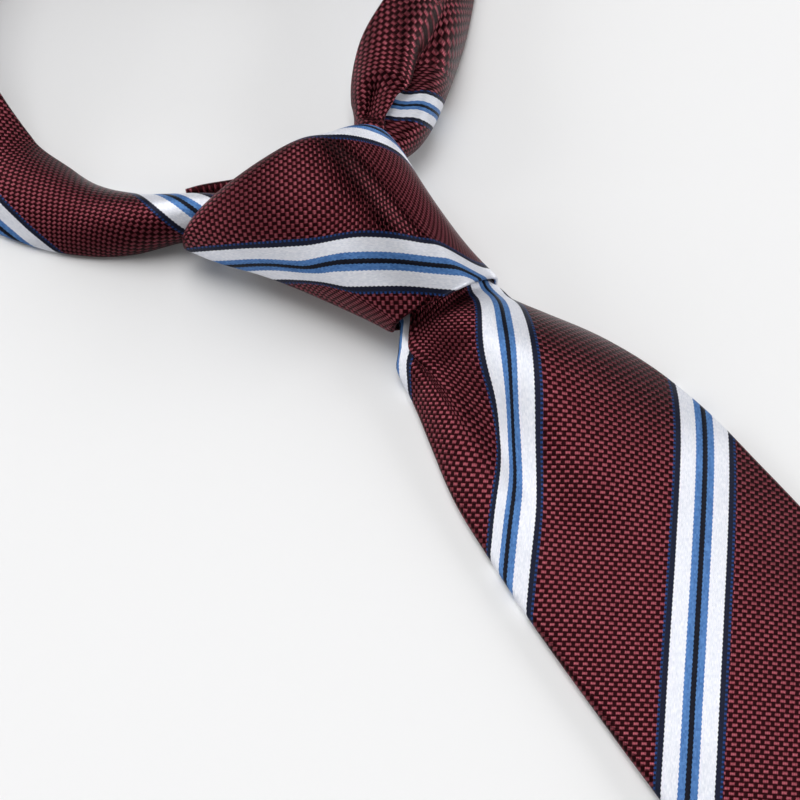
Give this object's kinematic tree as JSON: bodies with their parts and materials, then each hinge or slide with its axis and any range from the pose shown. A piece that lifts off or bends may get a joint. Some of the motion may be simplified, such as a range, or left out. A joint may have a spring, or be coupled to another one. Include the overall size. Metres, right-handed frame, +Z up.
{
  "type": "silk necktie",
  "caption": "Knotted striped silk necktie lying flat, with its wide blade over its narrow one and its neck loop open.",
  "frame": {"origin": "on the surface that the tie lies on, under the knot, on the front blade's centre line", "axes": "+Y from the blades' points towards the neck loop, +Z up from the surface, +X to the right seen from above with the neck loop at the top"},
  "size_m": [0.1581, 0.6723, 0.0259],
  "materials": {
    "striped_silk": "burgundy jacquard-woven silk with satin bias stripes in white, blue and navy",
    "inner_silk": "the same silk, on the wraps inside the knot"
  },
  "bodies": {
    "root": {"front_blade": "striped_silk", "tail_blade": "striped_silk", "knot_band": "striped_silk", "knot_inner_wrap": "inner_silk", "neck_band": "striped_silk"}
  },
  "joints": []
}
